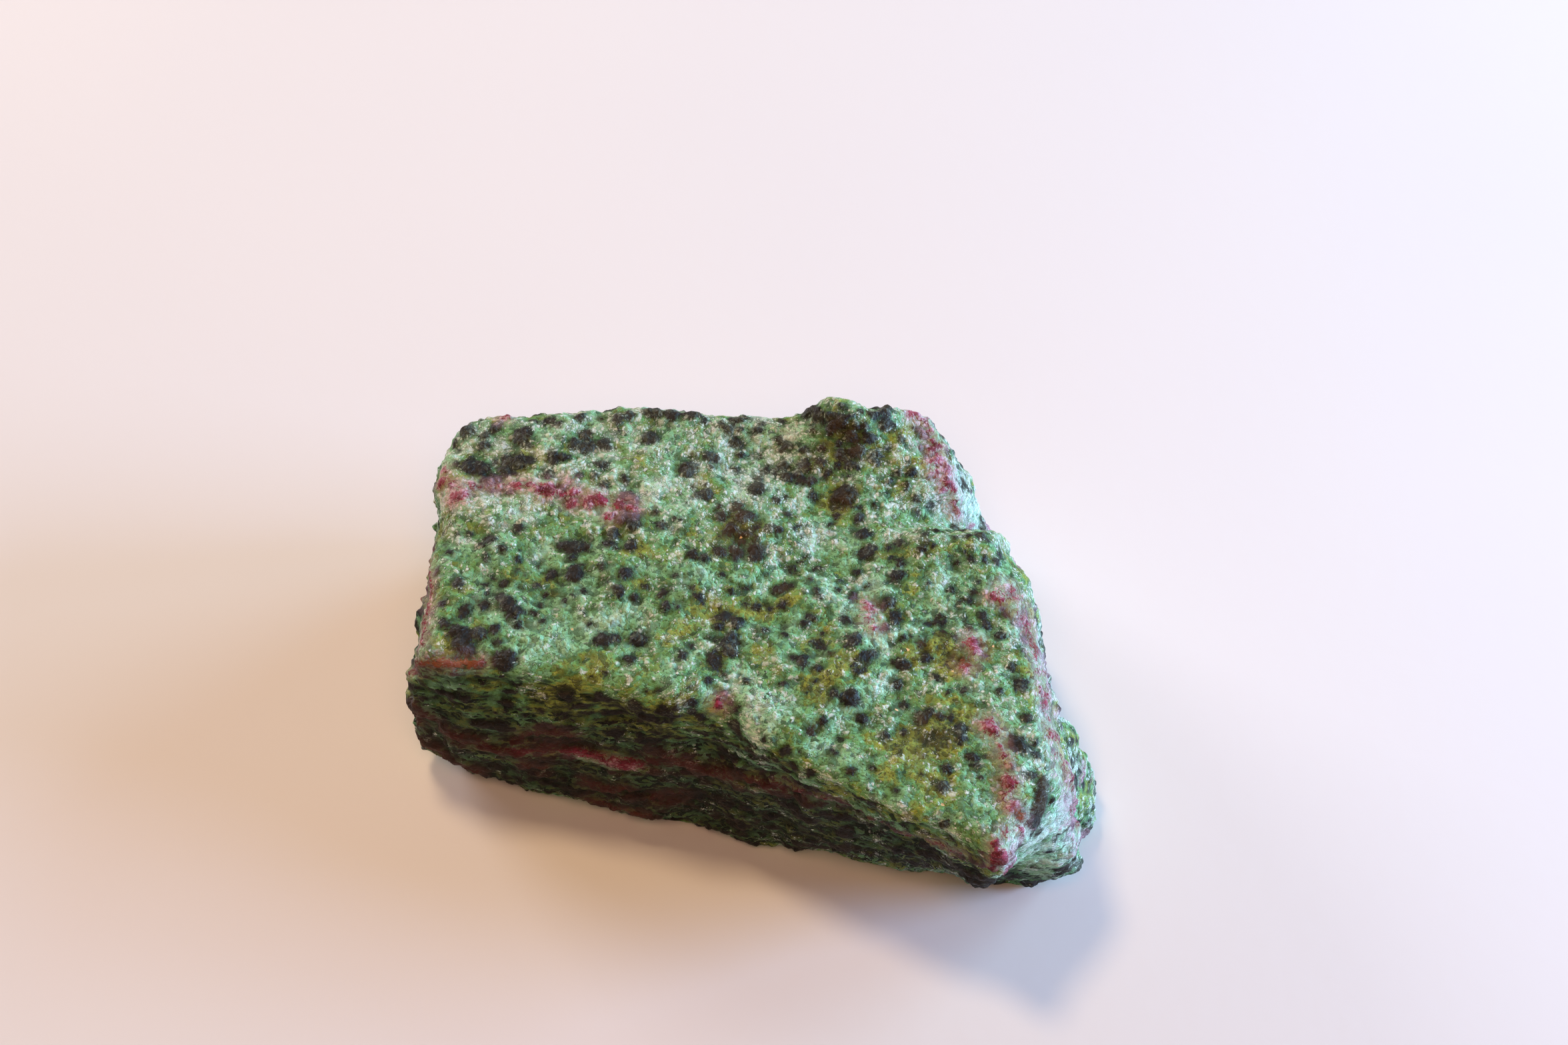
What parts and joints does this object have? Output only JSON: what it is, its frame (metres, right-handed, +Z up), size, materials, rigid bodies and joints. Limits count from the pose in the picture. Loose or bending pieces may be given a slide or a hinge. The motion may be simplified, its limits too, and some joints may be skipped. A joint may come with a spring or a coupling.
{
  "type": "ruby in zoisite",
  "caption": "Rough broken block of green zoisite rock with black hornblende grains and thin ruby seams; lies flat on its level underside.",
  "frame": {"origin": "on the surface the stone rests on, under the middle of its box", "axes": "+X along the longest side, towards the end with the thin low ledge; +Y towards the straight long side; +Z up, out of the broad flat top"},
  "size_m": [0.0616, 0.0492, 0.0198],
  "materials": {
    "stone": "rough sugary broken surface, mottled green with black grains and dull crimson seams"
  },
  "bodies": {
    "root": {"ruby_in_zoisite": "stone"}
  },
  "joints": []
}
